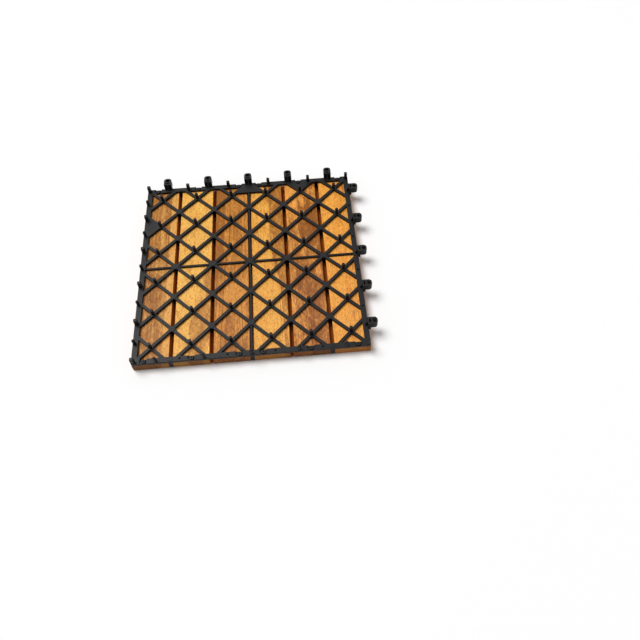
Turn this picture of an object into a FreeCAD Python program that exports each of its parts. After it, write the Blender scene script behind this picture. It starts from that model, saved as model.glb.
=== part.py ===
import FreeCAD, Part
import Sketcher
import math
import os

from FreeCAD import Placement, Rotation, Vector

# Interlocking deck tile, lying on its wooden face with the moulded grid up.
# Origin: middle of the walking face. +Z: out of the grid side. +X and +Y: the two sides with loops.

doc = FreeCAD.newDocument("deck_tile")
sheet = doc.addObject("Spreadsheet::Sheet", "Sizes")

SIZES = [
    # name, millimetres, angle or count, what it is
    ("module", 300, "pitch from one laid tile to the next"),
    ("tile_gap", 5, "gap between the grids of two laid tiles"),
    ("slats", 6, "number of slats, and of lattice cells along a side"),
    ("slat_gap", 5.4, "gap between two slats"),
    ("slat_thick", 11.5, "thickness of a slat"),
    ("slat_ease", 1.2, "rounded edge of the walking face"),
    ("grid_thick", 3.5, "thickness of the lattice and its frame"),
    ("bar_width", 6.8, "width of the frame's bars"),
    ("frame_corner", 1.5, "radius of the frame's outer corners"),
    ("rib_width", 4, "width of a diagonal rib"),
    ("cell_corner", 1.4, "chamfer in the corners of a lattice cell"),
    ("mid_rib_width", 2.6, "width of the two middle ribs"),
    ("mid_rib_drop", 0.7, "how far the middle ribs lie under the lattice's face"),
    ("plate_inset", 4, "distance of the middle plate's straight edge from the crossings"),
    ("foot_height", 9, "height of feet, pins and loops over the lattice"),
    ("corners", 8, "corners of a small foot, boss, dimple or screw"),
    ("foot_dia", 4.4, "foot under the middle of a slat, across its corners"),
    ("boss_dia", 8.8, "boss at a crossing over a gap, across its corners"),
    ("boss_rise", 0.5, "height of that boss over the lattice's face"),
    ("bar_boss_dia", 5.8, "boss on a bar over a gap, across its corners"),
    ("tab_length", 5, "length of a spacer tab along the gap"),
    ("tab_depth", 10, "how far a spacer tab reaches between two slats"),
    ("tab_play", 0.15, "play between a spacer tab and a slat"),
    ("loop_pitch", 58.8, "pitch of the loops, and of the pins that they take"),
    ("loops", 5, "number of loops along a side"),
    ("loop_hole_dia", 5.2, "hole of a loop"),
    ("pin_play", 0.6, "radial play of a pin in a loop"),
    ("loop_wall", 1.8, "wall of a loop"),
    ("loop_width", 10.6, "width of a loop along its bar"),
    ("loop_corner", 4.2, "radius of the two corners at a loop's end"),
    ("loop_reach", 7.3, "distance of the loop's hole from its bar"),
    ("loop_lift", 0.5, "play between a loop and the neighbour's bar"),
    ("slot_width", 2, "slot between a loop's ring and its root"),
    ("slot_length", 5.2, "length of that slot"),
    ("root_play", 2.2, "play between a loop's root and the neighbour's bar"),
    ("web_thick", 1.4, "thickness of the web behind a loop"),
    ("web_length", 3.4, "length of that web along the bar's width"),
    ("web_height", 7.5, "height of that web"),
    ("pin_ledge", 0.2, "ledge on a lock pin's shank, under its tip"),
    ("pin_tip_dia", 2.4, "end of a lock pin's tip, across its corners"),
    ("pin_tip_height", 2, "height of a lock pin's tapered tip"),
    ("post_side", 4.4, "side of a square foot at its root"),
    ("post_draft", 1.2, "draft angle of a square foot"),
    ("post_edge", 0.5, "distance of a square foot from the bar's outer edge"),
    ("dimple_dia", 3, "dimple in a bar without square feet, across its corners"),
    ("dimple_depth", 1.6, "depth of that dimple"),
    ("screw_dia", 3, "shank of a slat screw, across its corners"),
    ("screw_head_dia", 5.4, "head of a slat screw, across its corners"),
    ("screw_head_height", 1.5, "height of that head"),
    ("screw_length", 10, "length of a slat screw under its head"),
    ("screw_play", 0.05, "play round a slat screw"),
    ("screw_sink", 0.3, "how far the screw's head lies under the bar's face"),
]
for row, (name, value, meaning) in enumerate(SIZES, start=1):
    sheet.set(f"A{row}", name)
    sheet.set(f"B{row}", str(value))
    sheet.set(f"C{row}", meaning)
    sheet.setAlias(f"B{row}", name)
doc.recompute()


def spell(text):
    """An expression with each size's name written as a cell of the sheet."""
    for name, _, _ in sorted(SIZES, key=lambda entry: -len(entry[0])):
        text = text.replace(f"<{name}>", f"Sizes.{name}")
    return text


# lengths that several pieces share
FRAME = "(<module> - <tile_gap>)"
CELL = "(<module> / <slats>)"
SLAT_WIDTH = f"(({FRAME} - (<slats> - 1) * <slat_gap>) / <slats>)"
SLAT_PITCH = f"({SLAT_WIDTH} + <slat_gap>)"
EDGE = f"({FRAME} / 2)"
BAR_LINE = f"({EDGE} - <bar_width> / 2)"
TOP = "(<slat_thick> + <grid_thick>)"
SUMMIT = f"({TOP} + <foot_height>)"
LOOP_SPAN = "(<loop_pitch> * (<loops> - 1))"
PIN_LINE = f"({EDGE} + <tile_gap> - <loop_reach>)"
PIN_DIA = "(<loop_hole_dia> - 2 * <pin_play>)"
POST_LINE = f"({EDGE} - <post_edge> - <post_side> / 2)"
SCREW_SEAT = f"({TOP} - <screw_sink> - <screw_head_height>)"


def number(text):
    """What an expression comes to, as a plain number."""
    return float(sheet.evalExpression(spell(text)))


def bind(feature, **expressions):
    """Ties the feature's sizes to the sheet. A double underscore stands for a dot."""
    for name, text in expressions.items():
        feature.setExpression(name.replace("__", "."), spell(text))


def place(feature, x="0 mm", y="0 mm", z="0 mm"):
    """Ties the place of a primitive or a body to the sheet."""
    bind(feature, Placement__Base__x=x, Placement__Base__y=y, Placement__Base__z=z)


def new_body(name):
    body = doc.addObject("PartDesign::Body", name)
    body.Label = name
    body.AllowCompound = True
    return body


def datum(body, role):
    return next(item for item in body.Origin.OriginFeatures if item.Role == role)


def new_sketch(body, name, x="0 mm", y="0 mm", z="0 mm", turn=0, plane="XY_Plane"):
    """A sketch parallel to a plane of its body, with its own origin at x, y, z of that plane."""
    sketch = body.newObject("Sketcher::SketchObject", name)
    sketch.AttachmentSupport = [(datum(body, plane), "")]
    sketch.MapMode = "FlatFace"
    sketch.AttachmentOffset = Placement(Vector(0, 0, 0), Rotation(Vector(0, 0, 1), turn))
    bind(sketch, AttachmentOffset__Base__x=x, AttachmentOffset__Base__y=y, AttachmentOffset__Base__z=z)
    return sketch


def hold(sketch, kind, *where, size=None):
    """Adds a constraint, and ties its value to the sheet where a size is given."""
    values = [] if size is None else [number(size)]
    index = sketch.addConstraint(Sketcher.Constraint(kind, *where, *values))
    if size is not None:
        sketch.setExpression(f"Constraints[{index}]", spell(size))


def circle(sketch, diameter):
    """A circle round the sketch's origin."""
    index = sketch.addGeometry(Part.Circle(Vector(0, 0, 0), Vector(0, 0, 1), 1), False)
    hold(sketch, "Coincident", index, 3, -1, 1)
    hold(sketch, "Diameter", index, size=diameter)


def polygon(sketch, corners):
    """A closed outline through corners, each given as two lengths from the sketch's origin."""
    points = [Vector(number(x), number(y), 0) for x, y in corners]
    first = sketch.GeometryCount
    count = len(points)
    for i in range(count):
        sketch.addGeometry(Part.LineSegment(points[i], points[(i + 1) % count]), False)
    for i in range(count):
        hold(sketch, "Coincident", first + i, 2, first + (i + 1) % count, 1)
    for i, (x, y) in enumerate(corners):
        hold(sketch, "DistanceX", -1, 1, first + i, 1, size=x)
        hold(sketch, "DistanceY", -1, 1, first + i, 1, size=y)


def regular(sketch, diameter):
    """A regular outline round the sketch's origin, measured across its corners."""
    count = int(number("<corners>"))
    turns = [f"(360 deg * {i} / <corners>)" for i in range(count)]
    polygon(sketch, [(f"{diameter} / 2 * cos{turn}", f"{diameter} / 2 * sin{turn}") for turn in turns])


def rectangle(sketch, width, depth):
    """A rectangle centred on the sketch's origin."""
    half_x, half_y = f"{width} / 2", f"{depth} / 2"
    polygon(
        sketch,
        [
            (f"-{half_x}", f"-{half_y}"),
            (half_x, f"-{half_y}"),
            (half_x, half_y),
            (f"-{half_x}", half_y),
        ],
    )


def arch(sketch, length, width, radius):
    """A rectangle centred on the sketch's origin, with two round corners at its end in +X."""
    x, y, r = number(length) / 2, number(width) / 2, number(radius)
    upright = Vector(0, 0, 1)
    quarter = math.radians(90)
    outline = [
        Part.LineSegment(Vector(-x, -y, 0), Vector(x - r, -y, 0)),
        Part.ArcOfCircle(Part.Circle(Vector(x - r, r - y, 0), upright, r), -quarter, 0),
        Part.LineSegment(Vector(x, r - y, 0), Vector(x, y - r, 0)),
        Part.ArcOfCircle(Part.Circle(Vector(x - r, y - r, 0), upright, r), 0, quarter),
        Part.LineSegment(Vector(x - r, y, 0), Vector(-x, y, 0)),
        Part.LineSegment(Vector(-x, y, 0), Vector(-x, -y, 0)),
    ]
    low_side, low_arc, end, high_arc, high_side, start = [sketch.addGeometry(item, False) for item in outline]
    for item, following in ((low_side, low_arc), (low_arc, end), (end, high_arc), (high_arc, high_side)):
        hold(sketch, "Tangent", item, 2, following, 1)
    hold(sketch, "Coincident", high_side, 2, start, 1)
    hold(sketch, "Coincident", start, 2, low_side, 1)
    for item in (low_side, high_side):
        hold(sketch, "Horizontal", item)
    for item in (end, start):
        hold(sketch, "Vertical", item)
    hold(sketch, "Equal", low_arc, high_arc)
    hold(sketch, "Radius", low_arc, size=radius)
    hold(sketch, "DistanceX", -1, 1, low_side, 1, size=f"-{length} / 2")
    hold(sketch, "DistanceY", -1, 1, low_side, 1, size=f"-{width} / 2")
    hold(sketch, "DistanceX", -1, 1, end, 1, size=f"{length} / 2")
    hold(sketch, "DistanceY", -1, 1, start, 1, size=f"{width} / 2")


def pad(body, name, sketch, height, down=False, draft=None, middle=False):
    feature = body.newObject("PartDesign::Pad", name)
    feature.Profile = sketch
    feature.Reversed = down
    feature.Midplane = middle
    bind(feature, Length=height)
    if draft:
        bind(feature, TaperAngle=f"-{draft}")
    body.Tip = feature
    return feature


def pocket(body, name, sketch, depth):
    """Cuts from the sketch towards the walking face."""
    feature = body.newObject("PartDesign::Pocket", name)
    feature.Profile = sketch
    bind(feature, Length=depth)
    body.Tip = feature
    return feature


def primitive(body, kind, name, x, y, z, **sizes):
    feature = body.newObject(f"PartDesign::{kind}", name)
    place(feature, x, y, z)
    bind(feature, **sizes)
    body.Tip = feature
    return feature


def stud(body, name, x, y, z, diameter, height):
    """A short prism with its middle at x, y, measured across its corners."""
    sizes = {"Polygon": "<corners>", "Circumradius": f"{diameter} / 2", "Height": height}
    return primitive(body, "AdditivePrism", name, x, y, z, **sizes)


def pattern(body, name, originals, along_x=None, along_y=None):
    """Repeats features along X, Y or both. Each way is given as its whole length and its count."""
    feature = body.newObject("PartDesign::LinearPattern", name)
    feature.Originals = originals
    ways = [("X_Axis", along_x), ("Y_Axis", along_y)]
    for suffix, (role, way) in zip(("", "2"), [entry for entry in ways if entry[1]]):
        extent, count = way
        setattr(feature, f"Direction{suffix}", (datum(body, role), [""]))
        setattr(feature, f"Mode{suffix}", "Extent")
        bind(feature, **{f"Length{suffix}": extent, f"Occurrences{suffix}": count})
    body.Tip = feature
    return feature


def lattice():
    """A square sheet with rows of diamond cells cut through it. What stays are the diagonal ribs,
    the pads over the gaps, the frame's bars, two middle ribs and three filled places."""
    count = int(number("<slats>"))
    half_cell = number(CELL) / 2
    side = number(FRAME)
    low, thick = number("<slat_thick>"), number("<grid_thick>")
    corners = int(number("<corners>"))
    upright = Vector(0, 0, 1)

    def block(width, depth, height, x=0, y=0):
        """A box with its middle at x, y that stands on the slats."""
        return Part.makeBox(width, depth, height, Vector(x - width / 2, y - depth / 2, low))

    def upright_edges(box):
        return [edge for edge in box.Edges if edge.tangentAt(0).cross(upright).Length < 0.5]

    def crossing_pad(column, row):
        """The pad at a crossing over a gap, as wide as the boss that stands on it."""
        radius = number("<boss_dia> / 2")
        turns = [2 * math.pi * i / corners for i in range(corners + 1)]
        middle = Vector(column * half_cell, row * half_cell, low)
        rim = [middle + Vector(radius * math.cos(turn), radius * math.sin(turn), 0) for turn in turns]
        return Part.Face(Part.makePolygon(rim)).extrude(upright * thick)

    sheet_block = block(side, side, thick)
    whole = sheet_block.makeFillet(number("<frame_corner>"), upright_edges(sheet_block))
    inside = number(f"{FRAME} - 2 * <bar_width>")
    field = block(inside, inside, thick)
    opening = number(f"{CELL} / sqrt(2) - <rib_width>")
    cell_block = block(opening, opening, thick)
    diamond = cell_block.makeChamfer(number("<cell_corner>"), upright_edges(cell_block))
    diamond.rotate(Vector(0, 0, 0), upright, 45)
    mid_width, mid_height = number("<mid_rib_width>"), number("<grid_thick> - <mid_rib_drop>")
    middle_ribs = [block(mid_width, side, mid_height), block(side, mid_width, mid_height)]
    plate_depth = number(f"{CELL} / 2 - <plate_inset>")
    middle_plate = block(2 * half_cell, plate_depth, thick, y=half_cell * count - plate_depth / 2)

    # cells and crossings share one grid of half cells, counted from the tile's middle
    filled = [(-count, 3), (3, count)]
    half_filled = (0, count - 1)
    openings = []
    for column in range(-count, count + 1):
        for row in range(-count, count + 1):
            if (column + row) % 2 == 0 or (column, row) in filled:
                continue
            hole = diamond.copy()
            hole.translate(Vector(column * half_cell, row * half_cell, 0))
            if max(abs(column), abs(row)) >= count - 1:
                hole = hole.common(field)
            if (column + count) % 2 == 0:
                hole = hole.cut([crossing_pad(column, row - 1), crossing_pad(column, row + 1)])
            else:
                hole = hole.cut([crossing_pad(column - 1, row), crossing_pad(column + 1, row)])
            if 0 in (column, row):
                hole = hole.cut(middle_ribs)
            if (column, row) == half_filled:
                hole = hole.cut(middle_plate)
            openings.append(hole)
    feature = doc.addObject("Part::Feature", "lattice")
    feature.Shape = whole.cut(openings)
    return feature


def feet():
    """Small feet at the crossings under the middles of the slats."""
    body = new_body("feet")
    first = f"-{CELL} * (<slats> - 1) / 2"
    way = (f"{CELL} * (<slats> - 1)", "<slats>")
    foot = stud(body, "foot_first", first, first, TOP, "<foot_dia>", "<foot_height>")
    pattern(body, "feet_rows", [foot], way, way)
    return body


def bosses():
    """Raised bosses over the gaps, and the spacer tabs between the slats under them."""
    first = f"-{CELL} * (<slats> - 2) / 2"
    inner = (f"{CELL} * (<slats> - 2)", "<slats> - 1")
    outer = (f"{CELL} * (<slats> - 2)", "2")
    every_other = (f"2 * {CELL} * (floor(<slats> / 2) - 1)", "floor(<slats> / 2)")
    tab_width = "(<slat_gap> - 2 * <tab_play>)"
    made = []
    both_bars = (f"2 * {BAR_LINE}", "2")
    both_ends = (f"{FRAME} - <tab_length>", "2")
    middle = f"{first} - <tab_length> / 2"
    for name, diameter, boss_y, boss_ways, tab_y, tab_ways in (
        ("crossing", "<boss_dia>", first, (inner, inner), middle, (inner, inner)),
        ("bar", "<bar_boss_dia>", f"-{BAR_LINE}", (outer, both_bars), f"-{EDGE}", (every_other, both_ends)),
    ):
        body = new_body(f"{name}_bosses")
        boss = stud(body, f"{name}_boss_first", first, boss_y, TOP, diameter, "<boss_rise>")
        pattern(body, f"{name}_boss_rows", [boss], *boss_ways)
        tab_body = new_body(f"{name}_tabs")
        tab = primitive(
            tab_body,
            "AdditiveBox",
            f"{name}_tab_first",
            f"{first} - {tab_width} / 2",
            tab_y,
            "<slat_thick> - <tab_depth>",
            Length=tab_width,
            Width="<tab_length>",
            Height="<tab_depth>",
        )
        pattern(tab_body, f"{name}_tab_rows", [tab], *tab_ways)
        made += [body, tab_body]
    return made


def square_feet():
    """Square feet at the corners, and between the loops and pins of the left and far bars."""
    span = (f"{LOOP_SPAN} - <loop_pitch>", "<loops> - 1")
    first = f"-({LOOP_SPAN} - <loop_pitch>) / 2"
    across = (f"2 * {POST_LINE}", "2")
    made = []
    for name, x, y, ways in (
        ("corner", f"-{POST_LINE}", f"-{POST_LINE}", {"along_x": across, "along_y": across}),
        ("left", f"-{POST_LINE}", first, {"along_y": span}),
        ("far", first, POST_LINE, {"along_x": span}),
    ):
        body = new_body(f"{name}_feet")
        outline = new_sketch(body, f"{name}_foot_outline", x, y, TOP)
        rectangle(outline, "<post_side>", "<post_side>")
        foot = pad(body, f"{name}_foot_first", outline, "<foot_height>", draft="<post_draft>")
        pattern(body, f"{name}_foot_row", [foot], **ways)
        made.append(body)
    return made


def loops(side):
    """A row of loops on the right or far side, each on a root and stiffened by a web."""
    body = new_body(f"{side}_loops")
    right = side == "right"
    turn = 0 if right else 90
    along = f"-{LOOP_SPAN} / 2"

    def spot(out):
        return (out, along) if right else (along, out)

    hole_line = f"({EDGE} + <loop_reach>)"
    ring_edge = f"({hole_line} + <loop_hole_dia> / 2 + <loop_wall>)"
    slot_line = f"({hole_line} - <loop_hole_dia> / 2 - <loop_wall> - <slot_width> / 2)"
    inner_edge = f"({slot_line} - <slot_width> / 2 - <loop_wall>)"
    height = "(<foot_height> - <loop_lift>)"
    loop_middle = spot(f"({ring_edge} + {inner_edge}) / 2")
    outline = new_sketch(body, f"{side}_loop_outline", *loop_middle, SUMMIT, turn)
    arch(outline, f"({ring_edge} - {inner_edge})", "<loop_width>", "<loop_corner>")
    loop = pad(body, f"{side}_loop_first", outline, height, down=True)
    root_edge = f"({EDGE} + <tile_gap> - <root_play>)"
    root_middle = spot(f"({root_edge} + {inner_edge}) / 2")
    root_outline = new_sketch(body, f"{side}_root_outline", *root_middle, "<slat_thick>", turn)
    rectangle(root_outline, f"({root_edge} - {inner_edge})", "<loop_width>")
    root = pad(body, f"{side}_root_first", root_outline, "<grid_thick> + <loop_lift>")
    web_plane, web_place = ("XZ_Plane", f"-({along})") if right else ("YZ_Plane", along)
    web_outline = new_sketch(body, f"{side}_web_outline", inner_edge, TOP, web_place, plane=web_plane)
    polygon(
        web_outline,
        [
            ("-<web_length>", "0 mm"),
            ("<loop_wall> / 2", "0 mm"),
            ("<loop_wall> / 2", "<web_height>"),
            ("0 mm", "<web_height>"),
        ],
    )
    web = pad(body, f"{side}_web_first", web_outline, "<web_thick>", middle=True)
    hole_outline = new_sketch(body, f"{side}_hole_outline", *spot(hole_line), SUMMIT)
    circle(hole_outline, "<loop_hole_dia>")
    hole = pocket(body, f"{side}_hole_first", hole_outline, height)
    slot_outline = new_sketch(body, f"{side}_slot_outline", *spot(slot_line), SUMMIT, turn)
    rectangle(slot_outline, "<slot_width>", "<slot_length>")
    slot = pocket(body, f"{side}_slot_first", slot_outline, height)
    way = (LOOP_SPAN, "<loops>")
    ways = {"along_y": way} if right else {"along_x": way}
    pattern(body, f"{side}_loop_row", [loop, root, web, hole, slot], **ways)
    return body


def lock_pins(side):
    """A row of pins on the left or near bar, which drop into the loops of the tile laid beside it."""
    body = new_body(f"{side}_pins")
    left = side == "left"
    along = f"-{LOOP_SPAN} / 2"
    x, y = (f"-{PIN_LINE}", along) if left else (along, f"-{PIN_LINE}")
    shank_height = "(<foot_height> - <pin_tip_height>)"
    shank = primitive(
        body,
        "AdditiveCylinder",
        f"{side}_pin_first",
        x,
        y,
        TOP,
        Radius=f"{PIN_DIA} / 2",
        Height=shank_height,
    )
    tip_outline = new_sketch(body, f"{side}_pin_tip_outline", x, y, f"{TOP} + {shank_height}")
    tip_root = f"({PIN_DIA} - 2 * <pin_ledge>)"
    regular(tip_outline, tip_root)
    slope = f"atan(({tip_root} - <pin_tip_dia>) / 2 / <pin_tip_height>)"
    tip = pad(body, f"{side}_pin_tip_first", tip_outline, "<pin_tip_height>", draft=slope)
    way = (LOOP_SPAN, "<loops>")
    ways = {"along_y": way} if left else {"along_x": way}
    pattern(body, f"{side}_pin_row", [shank, tip], **ways)
    return body


def slat_line(index):
    """Middle of a slat, from the tile's middle."""
    return f"({SLAT_PITCH} * ({index} - (<slats> - 1) / 2))"


def screw_line(index):
    """The line nearest to a slat's middle that lies halfway between two of the bar's loops, pins and feet."""
    half = "(<loop_pitch> / 2)"
    return f"((round({slat_line(index)} / {half} - 0.5) + 0.5) * {half})"


def bar_holes(count):
    """What is cut from the bars: a stepped hole at each end of each slat, and small dimples."""
    both_bars = (f"2 * {BAR_LINE}", "2")
    made = []
    for index in range(count):
        body = new_body(f"screw_holes_{index + 1}")
        spot = (screw_line(index), f"-{BAR_LINE}")
        head, shank = "<screw_head_dia> + 2 * <screw_play>", "<screw_dia> + 2 * <screw_play>"
        mouth_depth = "<screw_sink> + <screw_head_height>"
        mouth = stud(body, f"screw_mouth_{index + 1}", *spot, SCREW_SEAT, head, mouth_depth)
        bore = stud(body, f"screw_bore_{index + 1}", *spot, "<slat_thick>", shank, "<grid_thick>")
        pattern(body, f"screw_hole_pair_{index + 1}", [mouth, bore], along_y=both_bars)
        made.append(body)
    span = (f"{LOOP_SPAN} - <loop_pitch>", "<loops> - 1")
    first = f"-({LOOP_SPAN} - <loop_pitch>) / 2"
    for name, x, y, ways in (
        ("near", first, f"-{BAR_LINE}", {"along_x": span}),
        ("right", BAR_LINE, first, {"along_y": span}),
    ):
        body = new_body(f"{name}_dimples")
        low = f"{TOP} - <dimple_depth>"
        dimple = stud(body, f"{name}_dimple_first", x, y, low, "<dimple_dia>", "<dimple_depth>")
        pattern(body, f"{name}_dimple_row", [dimple], **ways)
        made.append(body)
    return made


def base_grid(count):
    """The moulded base in one piece."""
    holes = doc.addObject("Part::Compound", "bar_holes")
    holes.Links = bar_holes(count)
    drilled = doc.addObject("Part::Cut", "drilled_lattice")
    drilled.Base = lattice()
    drilled.Tool = holes
    base = doc.addObject("Part::MultiFuse", "base_grid")
    base.Shapes = [
        drilled,
        feet(),
        *bosses(),
        *square_feet(),
        loops("right"),
        loops("far"),
        lock_pins("left"),
        lock_pins("near"),
    ]
    base.Label = "base_grid"
    return base


def slat(index):
    """A hardwood slat with rounded edges round its walking face and two screw holes in its back."""
    body = new_body(f"board_body_{index + 1}")
    place(body, x=slat_line(index))
    outline = new_sketch(body, f"slat_outline_{index + 1}")
    rectangle(outline, SLAT_WIDTH, FRAME)
    board = pad(body, f"board_{index + 1}", outline, "<slat_thick>")
    doc.recompute()
    low_edges = [
        f"Edge{number}"
        for number, edge in enumerate(board.Shape.Edges, start=1)
        if edge.BoundBox.ZMax < edge.Tolerance
    ]
    ease = body.newObject("PartDesign::Fillet", f"eased_edges_{index + 1}")
    ease.Base = (board, low_edges)
    bind(ease, Radius="<slat_ease>")
    body.Tip = ease
    doc.recompute()
    holes = new_body(f"slat_holes_{index + 1}")
    depth = f"(<slat_thick> - {SCREW_SEAT} + <screw_length> + <screw_play>)"
    low = f"<slat_thick> - {depth}"
    hole = stud(
        holes,
        f"slat_hole_{index + 1}",
        screw_line(index),
        f"-{BAR_LINE}",
        low,
        "<screw_dia> + 2 * <screw_play>",
        depth,
    )
    pattern(holes, f"slat_hole_pair_{index + 1}", [hole], along_y=(f"2 * {BAR_LINE}", "2"))
    drilled = doc.addObject("Part::Cut", f"slat_{index + 1}")
    drilled.Base = body
    drilled.Tool = holes
    drilled.Label = f"slat_{index + 1}"
    return drilled


def screw_pair(index):
    """Two screws, one at each end of a slat, with their heads on the steps in the bars."""
    body = new_body(f"screw_pair_{index + 1}")
    spot = (screw_line(index), f"-{BAR_LINE}")
    low = f"{SCREW_SEAT} - <screw_length>"
    shank = stud(body, f"screw_shank_{index + 1}", *spot, low, "<screw_dia>", "<screw_length>")
    head = stud(body, f"screw_head_{index + 1}", *spot, SCREW_SEAT, "<screw_head_dia>", "<screw_head_height>")
    pattern(body, f"screws_{index + 1}", [shank, head], along_y=(f"2 * {BAR_LINE}", "2"))
    return body


slat_count = int(number("<slats>"))
nodes = [base_grid(slat_count)]
nodes += [slat(index) for index in range(slat_count)]
screws = doc.addObject("Part::Compound", "slat_screws")
screws.Links = [screw_pair(index) for index in range(slat_count)]
screws.Label = "slat_screws"
nodes.append(screws)
doc.recompute()

for item in doc.Objects:
    if "Invalid" in item.State or "Error" in item.State:
        raise RuntimeError(f"{item.Name} failed: {item.State}")
for node in nodes:
    if node.Shape.isNull() or not node.Shape.isValid():
        raise RuntimeError(f"{node.Label} has no valid shape")

os.makedirs("parts", exist_ok=True)
for node in nodes:
    node.Shape.exportStep(f"parts/{node.Label}.step")
    box = node.Shape.BoundBox
    print(node.Label, len(node.Shape.Solids), "solids", round(node.Shape.Volume), "mm3", box)
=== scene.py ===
import bpy
import numpy as np
from mathutils import Matrix, Vector


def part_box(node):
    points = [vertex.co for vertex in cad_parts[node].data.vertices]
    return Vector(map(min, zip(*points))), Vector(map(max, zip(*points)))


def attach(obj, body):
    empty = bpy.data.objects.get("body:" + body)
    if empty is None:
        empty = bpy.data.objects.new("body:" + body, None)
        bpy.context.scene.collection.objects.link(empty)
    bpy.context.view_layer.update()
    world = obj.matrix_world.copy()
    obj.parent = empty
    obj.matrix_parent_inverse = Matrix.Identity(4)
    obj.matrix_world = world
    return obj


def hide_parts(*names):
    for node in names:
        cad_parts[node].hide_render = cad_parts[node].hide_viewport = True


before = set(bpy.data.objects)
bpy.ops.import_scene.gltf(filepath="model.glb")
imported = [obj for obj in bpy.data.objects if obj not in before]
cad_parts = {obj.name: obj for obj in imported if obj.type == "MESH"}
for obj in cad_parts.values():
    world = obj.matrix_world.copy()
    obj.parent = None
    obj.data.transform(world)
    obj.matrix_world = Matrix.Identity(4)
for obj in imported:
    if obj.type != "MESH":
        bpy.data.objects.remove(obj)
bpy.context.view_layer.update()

mm = 0.001


def mathMethod(operation, flipped=False):
    # a method that puts a wire and another value through one Math node, the other value first if flipped
    def method(self, other=0.0):
        first, second = (other, self) if flipped else (self, other)
        return self.finish.node("ShaderNodeMath", {"operation": operation}, {0: first, 1: second})
    return method


class Wire:
    # an output socket that can be added, multiplied and compared like a number
    __add__ = mathMethod("ADD")
    __radd__ = mathMethod("ADD", flipped=True)
    __sub__ = mathMethod("SUBTRACT")
    __rsub__ = mathMethod("SUBTRACT", flipped=True)
    __mul__ = mathMethod("MULTIPLY")
    __rmul__ = mathMethod("MULTIPLY", flipped=True)
    __truediv__ = mathMethod("DIVIDE")
    __rtruediv__ = mathMethod("DIVIDE", flipped=True)
    __pow__ = mathMethod("POWER")
    __rpow__ = mathMethod("POWER", flipped=True)
    __gt__ = mathMethod("GREATER_THAN")
    __abs__ = mathMethod("ABSOLUTE")
    larger = mathMethod("MAXIMUM")
    pingPong = mathMethod("PINGPONG")    # goes up to the other value and back to 0, again and again

    def __init__(self, finish, socket):
        self.finish, self.socket = finish, socket

    def part(self, name):
        # another output of the same node
        return Wire(self.finish, self.socket.node.outputs[name])


class Finish:
    # a material, or a world, and the nodes that are added to it
    def __init__(self, name, kind="materials"):
        self.owner = getattr(bpy.data, kind).new(name)
        self.owner.use_nodes = True
        self.tree = self.owner.node_tree
        self.tree.nodes.clear()

    def node(self, kind, settings=None, values=None, out=0):
        # a new node with its settings, its inputs linked to wires or set to values, and one output as a wire
        made = self.tree.nodes.new(kind)
        for name, value in (settings or {}).items():
            setattr(made, name, value)
        for key, value in (values or {}).items():
            socket = made.inputs[key]
            if isinstance(value, Wire):
                self.tree.links.new(value.socket, socket)
            elif socket.type == "RGBA":
                socket.default_value = (*value, 1)
            else:
                socket.default_value = value
        return Wire(self, made.outputs[out]) if made.outputs else None

    def mix(self, factor, first, second, blend="MIX"):
        # goes from the first colour to the second, or to their product, as the factor goes from 0 to 1
        settings = {"data_type": "RGBA", "blend_type": blend}
        values = {0: factor, 6: first, 7: second}    # inputs 6 and 7 and output 2 are the node's colours
        return self.node("ShaderNodeMix", settings, values, out=2)

    def ramp(self, value, low, high, first=0.0, last=1.0):
        # goes smoothly from first to last while the value goes from low to high
        values = {"Value": value, "From Min": low, "From Max": high, "To Min": first, "To Max": last}
        return self.node("ShaderNodeMapRange", {"interpolation_type": "SMOOTHSTEP"}, values)

    def stretched(self, vector, stretch, shift=(0, 0, 0)):
        # vector * stretch + shift, each axis by itself
        values = {0: vector, 1: stretch, 2: shift}
        return self.node("ShaderNodeVectorMath", {"operation": "MULTIPLY_ADD"}, values)

    def spot(self, middle=(0, 0, 0)):
        # the point's place in millimetres, (place - middle) / mm, where the middle is given in metres
        place = self.node("ShaderNodeTexCoord", out="Object")
        return self.stretched(place, [1 / mm] * 3, [-value / mm for value in middle])

    def split(self, vector):
        # the vector's x, y and z
        x = self.node("ShaderNodeSeparateXYZ", {}, {0: vector})
        return x, x.part("Y"), x.part("Z")

    def noise(self, place, detail, rough):
        # a smooth random value round 0.5 that changes with the place
        values = {"Vector": place, "Scale": 1.0, "Detail": detail, "Roughness": rough}
        return self.node("ShaderNodeTexNoise", {}, values)

    def lineNoise(self, value, detail, rough):
        # a smooth random value round 0.5 that changes with one value alone
        values = {"W": value, "Scale": 1.0, "Detail": detail, "Roughness": rough}
        return self.node("ShaderNodeTexNoise", {"noise_dimensions": "1D"}, values)

    def surface(self, values, shader="ShaderNodeBsdfPrincipled", output="ShaderNodeOutputMaterial"):
        # ends the material or the world with a shader, and gives it back
        self.node(output, {}, {"Surface": self.node(shader, {}, values)})
        return self.owner


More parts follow.
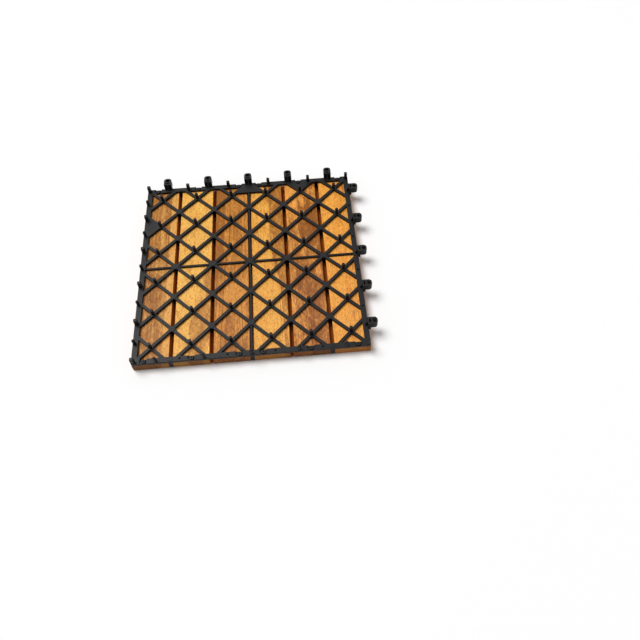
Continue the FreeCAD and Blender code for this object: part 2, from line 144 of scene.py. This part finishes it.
woodLook = {
    # cells per millimetre across, along and through the slat, then detail and roughness
    "noises": {
        "sway": ((0.013, 0.006, 0.020), 1.0, 0.50),
        "quiver": ((0.10, 0.020, 0.10), 2.0, 0.50),
        "mottle": ((0.38, 0.15, 0.38), 4.0, 0.70),
        "patches": ((0.07, 0.022, 0.07), 2.0, 0.50),
        "flecks": ((0.30, 0.07, 0.30), 3.0, 0.60),
        "streaks": ((1.3, 0.016, 1.3), 3.0, 0.60),
        "pores": ((3.6, 0.22, 3.6), 1.0, 0.50),
    },
    "seedShift": (7, 13, 5),             # how far a seed of 1 moves the noises, in cells
    "rings": (0.30, 3.0, 0.62),          # cells per millimetre of radius, detail and roughness
    "broadRings": (0.07, 1.0, 0.40),
    "broadSeed": 1.7,
    "ringShare": 0.6,                    # the broad rings have the rest
    "ringRange": (0.34, 0.66),
    "ringPush": (26.0, 3.0),             # millimetres by which the sway and the quiver push the rings
    "edgePush": (5.0, 4.0),              # the same for bands, clouds and cracks
    "knotSquash": 0.55,                  # a knot is longer along the slat than across it
    "knotReach": 2.2,                    # radii round a knot in which it pushes the rings aside
    "knotPush": 7.0,                     # millimetres
    "mottleDepth": 2.0,
    "patchDepth": 0.9,
    "bandSoft": (-1.2, 1.8),             # millimetres over which a band's edge fades in
    "cloudCore": 0.25,                   # the share of a cloud's reach that is at full depth
    "toneRange": (-0.1, 1.0),
    "fleckRange": (0.46, 0.62, 0.0, 0.75),
    "fleckTint": (0.96, 0.80, 0.58),
    "lineRange": (0.54, 0.70),
    "lineTone": (0.17, 0.052, 0.010),
    "poreRange": (0.57, 0.66),
    "poreShare": 0.78,
    "poreTone": (0.10, 0.030, 0.008),
    "crackWidth": (0.10, 0.55),          # millimetres from its middle, full and gone
    "crackTip": 12.0,                    # millimetres in which a crack fades out
    "crackTone": (0.09, 0.026, 0.006),
    "skySheenRange": (110, -130, 0.0, 0.040),
    "skySheen": (0.75, 0.45, 0.52),          # painted sheen: a pale reflection of the sky on the oil, stronger towards the near end
    "upright": 0.7,                      # a face looks along an axis if its normal has more than this of it
    "endGrainShadeTint": (0.42, 0.36, 0.30),       # end grain drinks more oil, and the end faces also carry painted shade
    "gapReach": 147.0,                   # a side wall nearer the tile's middle than this stands in a gap
    "gapShadeShare": 0.70,
    "gapShadeTone": (0.46, 0.175, 0.036),     # painted shade: the walls of the gaps are darkened towards a deep brown
    "poreDepth": 0.10,                   # millimetres
    "lineDepth": 0.35,                   # the dark lines sink by this share of the pores' depth
    "bump": 0.6,
    "roughness": 0.52,
    "lineRough": 0.12,
    "poreRough": 0.10,
    "specular": 0.12,
}

# heart: the rings' middle as x and z from the slat's middle; lean: how fast it sinks along the slat
# base and figure: how deep the tone is and how far the rings move it; lines: how strong the dark lines are
# bands: edge near and far, the stretch along y in which it turns, the side, depth near and far
# knots: x, y, radius and depth; cracks: fine dark checks at x, from near to far, and how dark they are
# clouds: x, y, reach across and along, and depth; a depth under zero is paler
boards = {
    "slat_1": {
        "pale": (0.84, 0.430, 0.104), "deep": (0.38, 0.152, 0.031), "heart": (-70.0, -30.0), "lean": 0.02,
        "base": 0.66, "figure": 0.52, "lines": 0.55, "seed": 3.1,
        "bands": [(12.5, 14.0, -90, 60, 1, -1.25, -0.75), (-17.0, -15.0, -60, 60, -1, 0.15, 0.10)],
        "knots": [(-9.0, -46.0, 8.0, 0.45)],
        "cracks": [(-6.5, -62, -4, 0.9), (-2.5, -30, 14, 0.7), (-14.0, 20, 75, 0.6)],
        "clouds": [(3.0, 62, 7, 46, -0.30), (0.0, 4, 7, 22, -0.40), (-8.0, -14, 5, 22, 0.25)],
    },
    "slat_2": {
        "pale": (0.98, 0.538, 0.113), "deep": (0.52, 0.226, 0.044), "heart": (-4.0, -26.0), "lean": 0.12,
        "base": 0.02, "figure": 0.45, "lines": 0.28, "seed": 11.7,
        "bands": [(-4.0, 17.0, -112, 16, 1, 0.72, 0.05)],
        "knots": [],
        "cracks": [(3.0, -90, -40, 0.45)],
        "clouds": [(20.0, -134, 9, 30, -0.55), (18.0, -22, 9, 30, 0.75), (8.0, 120, 22, 50, -0.20)],
    },
    "slat_3": {
        "pale": (0.76, 0.328, 0.058), "deep": (0.37, 0.135, 0.019), "heart": (60.0, -45.0), "lean": -0.03,
        "base": 0.49, "figure": 0.72, "lines": 0.45, "seed": 23.9,
        "bands": [(-15.0, -11.0, -50, 20, -1, -0.25, 0.40), (8.0, 12.0, -100, 0, 1, -0.30, -0.10)],
        "knots": [],
        "cracks": [(14.0, -138, -62, 0.8), (10.5, -120, -78, 0.7), (-4.0, 30, 95, 0.5)],
        "clouds": [(5.0, -52, 18, 44, -0.55), (12.0, -132, 16, 24, 0.45), (-12.0, 130, 14, 22, 0.50),
                   (-17.0, 4, 8, 42, 0.45)],
    },
    "slat_4": {
        "pale": (0.94, 0.463, 0.082), "deep": (0.40, 0.152, 0.024), "heart": (-9.0, -33.0), "lean": -0.10,
        "base": 0.05, "figure": 0.40, "lines": 0.28, "seed": 31.3,
        "bands": [(15.0, 3.5, -50, 30, 1, 0.50, 0.72)],
        "knots": [],
        "cracks": [(13.0, -130, -56, 0.6), (16.5, -96, -40, 0.6)],
        "clouds": [(2.5, 132, 9, 30, 0.50), (-18.0, 100, 8, 50, 0.20)],
    },
    "slat_5": {
        "pale": (0.95, 0.412, 0.082), "deep": (0.31, 0.105, 0.016), "heart": (8.0, -22.0), "lean": 0.09,
        "base": 0.49, "figure": 0.65, "lines": 0.60, "seed": 47.2,
        "bands": [(-9.0, -4.0, 40, 110, -1, 0.0, -0.45), (-2.0, 5.0, -30, 40, 1, 0.18, 0.45)],
        "knots": [(-11.0, -42.0, 9.0, 0.60)],
        "cracks": [(1.0, -142, -86, 0.9), (5.5, -120, -70, 0.8), (-9.5, -60, -22, 0.9), (16.0, 40, 100, 0.8)],
        "clouds": [(-17.0, 122, 14, 40, -1.00), (18.0, 118, 10, 30, -0.60), (1.0, 46, 7, 22, 0.45),
                   (17.0, 46, 8, 22, 0.35), (17.0, -22, 7, 16, -0.55)],
    },
    "slat_6": {
        "pale": (0.96, 0.429, 0.070), "deep": (0.64, 0.240, 0.035), "heart": (-85.0, -35.0), "lean": 0.03,
        "base": 0.06, "figure": 0.48, "lines": 0.24, "seed": 59.8,
        "bands": [(17.0, 15.0, -60, 60, 1, 0.30, 0.20)],
        "knots": [],
        "cracks": [(13.0, 98, 142, 0.7)],
        "clouds": [(15.0, 134, 14, 22, 0.75), (17.0, -16, 8, 18, 0.65), (-14.0, -92, 16, 60, -0.30),
                   (14.0, 18, 12, 24, -0.30)],
    },
}


def distance(across, along):
    # sqrt(across^2 + along^2)
    return (across ** 2 + along ** 2) ** 0.5


def pushed(x, noises, push):
    # x + (sway - 0.5) * its push + (quiver - 0.5) * its push
    return x + (noises["sway"] - 0.5) * push[0] + (noises["quiver"] - 0.5) * push[1]


def ringTone(finish, look, board, noises, spot):
    # The rings lie round a leaning heart line: radius = distance(x - heartX, z - lean * y - heartZ), where x
    # is pushed by the noises and the knots first. The tone is a noise along the radius, deeper within a knot.
    x, y, z = spot
    bent = pushed(x, noises, look["ringPush"])
    knots = 0.0
    for knotX, knotY, size, depth in board["knots"]:
        away = distance(x - knotX, (y - knotY) * look["knotSquash"])
        knots = knots + finish.ramp(away, 0.0, size, depth, 0.0)
        bent = bent + finish.ramp(away, 0.0, size * look["knotReach"], look["knotPush"], 0.0)
    heartX, heartZ = board["heart"]
    radius = distance(bent - heartX, z - board["lean"] * y - heartZ)
    rate, *ringDetail = look["rings"]
    broadRate, *broadDetail = look["broadRings"]
    rings = finish.lineNoise(radius * rate + board["seed"], *ringDetail)
    broad = finish.lineNoise(radius * broadRate + board["seed"] * look["broadSeed"], *broadDetail)
    share = look["ringShare"]
    figure = finish.ramp(share * rings + (1 - share) * broad, *look["ringRange"]) - 0.5
    return figure * board["figure"] + board["base"] + knots


def placedTone(finish, look, board, edge, y):
    # A band deepens one side of a border that goes from its near x to its far x along the slat. A cloud
    # deepens an ellipse, where distance(x / width, y / length) from its middle is under 1.
    tone = 0.0
    for near, far, start, end, side, weak, strong in board["bands"]:
        border = finish.ramp(y, start, end, near, far)
        beside = finish.ramp((edge - border) * side, *look["bandSoft"])
        tone = tone + beside * finish.ramp(y, start, end, weak, strong)
    for cloudX, cloudY, width, length, depth in board["clouds"]:
        away = distance((edge - cloudX) / width, (y - cloudY) / length)
        tone = tone + finish.ramp(away, look["cloudCore"], 1.0, depth, 0.0)
    return tone


def cracked(finish, look, board, colour, edge, y):
    # Each crack is dark close to its x and fades out at its two tips.
    tip = look["crackTip"]
    for crackX, near, far, depth in board["cracks"]:
        crack = finish.ramp(abs(edge - crackX), *look["crackWidth"], depth, 0.0)
        crack = crack * finish.ramp(y, near, near + tip) * finish.ramp(y, far - tip, far, 1.0, 0.0)
        colour = finish.mix(crack, colour, look["crackTone"])
    return colour


def shadedFaces(finish, look, colour, tileX):
    # painted shade on an end face, where |normalY| > upright, and on a gap's wall, where |normalX| > upright
    # and |x| <= gapReach
    facingX, facingY = finish.split(finish.node("ShaderNodeNewGeometry", out="Normal"))[:2]
    endFace = abs(facingY) > look["upright"]
    # the end grain's own darkening together with painted shade
    colour = finish.mix(endFace, colour, look["endGrainShadeTint"], "MULTIPLY")
    outside = abs(tileX) > look["gapReach"]
    # painted shade on each gap's wall
    shadedGapWall = (abs(facingX) > look["upright"]) * (1 - outside)
    return finish.mix(shadedGapWall * look["gapShadeShare"], colour, look["gapShadeTone"])


def woodFinish(name, look, board):
    # The tone, which is rings + placed marks + mottle + patches, goes from pale to deep. Flecks, dark lines,
    # pores, cracks and a painted sheen are laid over it in turn. The surface sinks by lines * lineDepth +
    # pores.
    finish = Finish(f"{name}Oiled")
    low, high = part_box(name)
    middle = (low + high) / 2
    place = finish.spot(middle)
    x, y, z = finish.split(place)
    seed = [board["seed"] * shift for shift in look["seedShift"]]
    noises = {
        kind: finish.noise(finish.stretched(place, stretch, seed), detail, rough)
        for kind, (stretch, detail, rough) in look["noises"].items()
    }
    edge = pushed(x, noises, look["edgePush"])

    tone = ringTone(finish, look, board, noises, (x, y, z)) + placedTone(finish, look, board, edge, y)
    tone = tone + (noises["mottle"] - 0.5) * look["mottleDepth"]
    tone = tone + (noises["patches"] - 0.5) * look["patchDepth"]
    colour = finish.mix(finish.ramp(tone, *look["toneRange"]), board["pale"], board["deep"])
    flecks = finish.ramp(noises["flecks"], *look["fleckRange"])
    colour = finish.mix(flecks, colour, look["fleckTint"], "MULTIPLY")
    lines = finish.ramp(noises["streaks"], *look["lineRange"])
    colour = finish.mix(lines * board["lines"], colour, look["lineTone"])
    pores = finish.ramp(noises["pores"], *look["poreRange"])
    colour = finish.mix(pores * look["poreShare"], colour, look["poreTone"])
    colour = cracked(finish, look, board, colour, edge, y)
    # painted sheen, growing towards the near end
    colour = finish.mix(finish.ramp(y, *look["skySheenRange"]), colour, look["skySheen"])
    colour = shadedFaces(finish, look, colour, x + middle[0] / mm)

    height = (lines * look["lineDepth"] + pores) * -1
    relief = {"Strength": look["bump"], "Distance": look["poreDepth"] * mm, "Height": height}
    return finish.surface({
        "Base Color": colour,
        "Roughness": lines * look["lineRough"] + pores * look["poreRough"] + look["roughness"],
        "Normal": finish.node("ShaderNodeBump", {}, relief),
        "Specular IOR Level": look["specular"],
    })


for name, board in boards.items():
    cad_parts[name].material_slots[0].material = woodFinish(name, woodLook, board)
print("wood: six slats finished")


plasticLook = {
    "cloud": ((0.03, 0.03, 0.05), 3.0, 0.55),    # cells per millimetre, detail and roughness
    "grain": ((1.6, 1.6, 1.6), 2.0, 0.60),
    "cloudShare": 0.7,                   # the grain has the rest
    "cloudRange": (0.38, 0.64),
    "tone": (0.0041, 0.0041, 0.0047),
    "pale": (0.0086, 0.0086, 0.0099),
    "low": (0.0012, 0.0012, 0.0015),     # painted shade: the ribs and walls nearest the slats are darker
    "lowHeight": (14.35, 14.9),          # millimetres
    "edge": 0.28,                        # millimetres of softened edge
    "edgeSamples": 4,
    "bump": 0.35,
    "grainDepth": 0.05,                  # millimetres
    "roughRange": (0.35, 0.65, 0.35, 0.47),    # the grain from and to, the roughness from and to
    "specular": 0.2,
}


def plasticFinish(look):
    # The tone follows cloud * cloudShare + grain * (1 - cloudShare), with painted shade low down. The
    # roughness follows the grain, and the edges are softened in the normal.
    finish = Finish("mouldedBlack")
    place = finish.spot()
    cloudStretch, *cloudDetail = look["cloud"]
    grainStretch, *grainDetail = look["grain"]
    cloud = finish.noise(finish.stretched(place, cloudStretch), *cloudDetail)
    grain = finish.noise(finish.stretched(place, grainStretch), *grainDetail)
    share = look["cloudShare"]
    rubbed = finish.ramp(share * cloud + (1 - share) * grain, *look["cloudRange"])
    colour = finish.mix(rubbed, look["tone"], look["pale"])
    height = finish.split(place)[2]
    # painted shade: below lowHeight the tone falls to the low tone
    colour = finish.mix(finish.ramp(height, *look["lowHeight"]), look["low"], colour)
    soft = finish.node("ShaderNodeBevel", {"samples": look["edgeSamples"]}, {"Radius": look["edge"] * mm})
    depth = look["grainDepth"] * mm
    relief = {"Strength": look["bump"], "Distance": depth, "Height": grain, "Normal": soft}
    return finish.surface({
        "Base Color": colour,
        "Roughness": finish.ramp(grain, *look["roughRange"]),
        "Normal": finish.node("ShaderNodeBump", {}, relief),
        "Specular IOR Level": look["specular"],
    })


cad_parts["base_grid"].material_slots[0].material = plasticFinish(plasticLook)
print("base: moulded plastic finished")


screwLook = {
    # radius, height over the seat and reach of the recess's four arms, from its floor to the shank's end
    "profile": [
        (0.02, 0.55, 0.00), (0.34, 0.55, 0.30), (0.50, 1.42, 0.62), (0.58, 1.50, 0.66),
        (2.20, 1.50, 0.00), (2.44, 1.38, 0.00), (2.50, 1.20, 0.00), (2.50, 0.02, 0.00),
        (1.34, 0.00, 0.00), (1.34, -7.60, 0.00), (0.06, -10.00, 0.00),
    ],
    "sides": 64,
    "armSharpness": 8,
    "seat": 13.2,                        # millimetres, the underside of the heads
    "lines": (14.7, 73.5, 132.3),        # on both sides of the tile's middle
    "barLine": 144.1,                    # the middle of the near and far bars
    "scuff": ((0.9, 0.9, 0.9), 3.0, 0.60),
    "roughRange": (0.3, 0.7, 0.28, 0.44),
    "tone": (0.014, 0.014, 0.016),
    "metallic": 0.85,
}


def screwMesh(look):
    # A turned surface: at angle t it lies radius + reach * cos(2 t)^armSharpness from its axis, so the recess
    # has four arms. It is repeated on the near bar and the far bar, at plus and minus each of the lines.
    radii, heights, reaches = np.array(look["profile"]).T[:, :, None]
    turn = np.linspace(0, 2 * np.pi, look["sides"], endpoint=False)
    radius = radii + reaches * np.cos(2 * turn) ** look["armSharpness"]
    height = np.broadcast_to(heights, radius.shape) + look["seat"]
    one = np.stack([radius * np.cos(turn), radius * np.sin(turn), height], -1)
    lines = np.concatenate([look["lines"], np.negative(look["lines"])])
    x, y = np.meshgrid(lines, (-look["barLine"], look["barLine"]), indexing="ij")
    middles = np.stack([x, y, np.zeros_like(x)], -1).reshape(-1, 1, 1, 3)
    points = (middles + one).reshape(-1, 3) * mm
    index = np.arange(radius.size).reshape(radius.shape)
    across = np.roll(index, -1, axis=1)
    quads = np.stack([across[:-1], across[1:], index[1:], index[:-1]], -1).reshape(-1, 4)
    quads = quads + radius.size * np.arange(len(middles))[:, None, None]
    mesh = bpy.data.meshes.new("slatScrews")
    mesh.from_pydata(points.tolist(), [], quads.reshape(-1, 4).tolist())
    mesh.shade_smooth()
    return mesh


def screwFinish(look):
    # blackened steel, whose roughness follows a fine scuffing noise
    finish = Finish("blackenedSteel")
    stretch, *detail = look["scuff"]
    scuff = finish.noise(finish.stretched(finish.spot(), stretch), *detail)
    rough = finish.ramp(scuff, *look["roughRange"])
    return finish.surface({"Base Color": look["tone"], "Metallic": look["metallic"], "Roughness": rough})


def makeScrews(look):
    # the twelve turned screws, in place of the frame's plain ones
    piece = bpy.data.objects.new("slatScrews", screwMesh(look))
    bpy.context.scene.collection.objects.link(piece)
    piece.data.materials.append(screwFinish(look))
    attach(piece, "root")
    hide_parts("slat_screws")


makeScrews(screwLook)
print("screws: twelve heads turned")


floorLook = {
    "size": 12.0,                        # metres
    "rows": 9,                           # points along a side
    "tone": (0.95, 0.95, 0.95),
    "gapShadeTone": (0.40, 0.115, 0.014),     # painted shade: a dark brown laid on the floor below the gaps
    "rimShadeTone": (0.09, 0.032, 0.008),     # painted shadow, darker still at the gaps' ends, where the sun reaches the floor
    "gapPitch": 50.0,                    # millimetres, as all the places below
    "gapHalf": 4.0,                      # half the width of a brown strip
    "gapsReach": 115.0,                  # the strips repeat no further from the middle than this
    "endReach": 149.0,                   # half the length of a strip
    "endShift": 3.5,                     # the strips lie this far to the far side, under the line of sight
    "rim": (143.5, 147.0),
    "border": (-1.5, 2.5),               # from brown to pale, past the strip's outline
    "roughness": 0.9,
    "specular": 0.1,
}


def floorFinish(look):
    # Pale but for a strip of painted brown shade below each gap, darker at the strip's ends. How far a
    # point is past a strip's outline is the largest of pingPong(x) - gapHalf, |x| - gapsReach and
    # |y - endShift| - endReach, where pingPong(x) is its distance from the nearest multiple of gapPitch.
    finish = Finish("paleFloor")
    x, y = finish.split(finish.spot())[:2]
    pastSide = x.pingPong(look["gapPitch"] / 2) - look["gapHalf"]
    pastEnd = abs(y - look["endShift"]) - look["endReach"]
    past = pastSide.larger(abs(x) - look["gapsReach"]).larger(pastEnd)
    # painted shade: the brown below the gaps, darker near their ends
    groundShade = finish.mix(finish.ramp(abs(y), *look["rim"]), look["gapShadeTone"], look["rimShadeTone"])
    colour = finish.mix(finish.ramp(past, *look["border"]), groundShade, look["tone"])
    return finish.surface({
        "Base Color": colour,
        "Roughness": look["roughness"],
        "Specular IOR Level": look["specular"],
    })


def makeFloor(look):
    # a flat square grid of points, centred under the tile at the height of the walking face
    rows = look["rows"]
    across = np.linspace(-0.5, 0.5, rows) * look["size"]
    x, y = np.meshgrid(across, across, indexing="ij")
    points = np.stack([x, y, np.zeros_like(x)], -1).reshape(-1, 3)
    index = np.arange(rows * rows).reshape(rows, rows)
    corners = [index[:-1, :-1], index[1:, :-1], index[1:, 1:], index[:-1, 1:]]
    quads = np.stack(corners, -1).reshape(-1, 4)
    mesh = bpy.data.meshes.new("floor")
    mesh.from_pydata(points.tolist(), [], quads.tolist())
    mesh.materials.append(floorFinish(look))
    floor = bpy.data.objects.new("floor", mesh)
    bpy.context.scene.collection.objects.link(floor)


lightLook = {
    "skyTone": (1, 1, 1),
    "skyLevel": 0.30,
    "sunFrom": (-0.46, 0.28, 1.0),
    "sunWidth": 0.60,                    # radians
    "sunPower": 2.6,
    "sheenFrom": (-0.70, 0.78, 1.50),
    "sheenSize": 0.8,                    # metres
    "sheenPower": 1.3,
}


def makeSky(look):
    # the sky's strength is skyLevel as a light, and 1 to the camera, in reflections and through clear parts
    sky = Finish("studio", "worlds")
    ray = sky.node("ShaderNodeLightPath")
    seen = ray.larger(ray.part("Is Glossy Ray")).larger(ray.part("Is Transmission Ray"))
    strength = seen * (1 - look["skyLevel"]) + look["skyLevel"]
    shine = {"Color": look["skyTone"], "Strength": strength}
    bpy.context.scene.world = sky.surface(shine, "ShaderNodeBackground", "ShaderNodeOutputWorld")


def makeLamps(look):
    # a wide sun and one soft panel, both turned towards the tile
    sun = bpy.data.lights.new("sun", "SUN")
    sun.energy, sun.angle = look["sunPower"], look["sunWidth"]
    sheen = bpy.data.lights.new("sheen", "AREA")
    sheen.energy, sheen.size = look["sheenPower"], look["sheenSize"]
    for lamp, place in ((sun, look["sunFrom"]), (sheen, look["sheenFrom"])):
        holder = bpy.data.objects.new(lamp.name, lamp)
        holder.location = place
        holder.rotation_euler = (-Vector(place)).to_track_quat("-Z", "Y").to_euler()
        bpy.context.scene.collection.objects.link(holder)


viewpoint = {
    "place": (0.0754, -0.5309, 0.6681),
    "along": (0.04283, 0.54098, -0.83994),
    "right": (0.99572, -0.09207, -0.00852),
    "lens": 34.49,                       # millimetres
    "sensor": 36.0,
    "shift": (-0.0268, 0.0032),
    "clip": (0.01, 50),                  # metres
}


def makeCamera(look):
    # the photograph's camera, which looks along one direction; its right side is made square to that
    camera = bpy.data.cameras.new("camera")
    camera.lens, camera.sensor_width = look["lens"], look["sensor"]
    camera.shift_x, camera.shift_y = look["shift"]
    camera.clip_start, camera.clip_end = look["clip"]
    along = Vector(look["along"]).normalized()
    right = Vector(look["right"])
    right = (right - along * right.dot(along)).normalized()
    turn = Matrix((right, right.cross(along), -along)).transposed().to_4x4()
    holder = bpy.data.objects.new("camera", camera)
    holder.matrix_world = Matrix.Translation(Vector(look["place"])) @ turn
    bpy.context.scene.collection.objects.link(holder)
    bpy.context.scene.camera = holder


makeFloor(floorLook)
makeSky(lightLook)
makeLamps(lightLook)
makeCamera(viewpoint)
bpy.context.scene.view_settings.view_transform = "Standard"
print("studio: floor, light and camera placed")
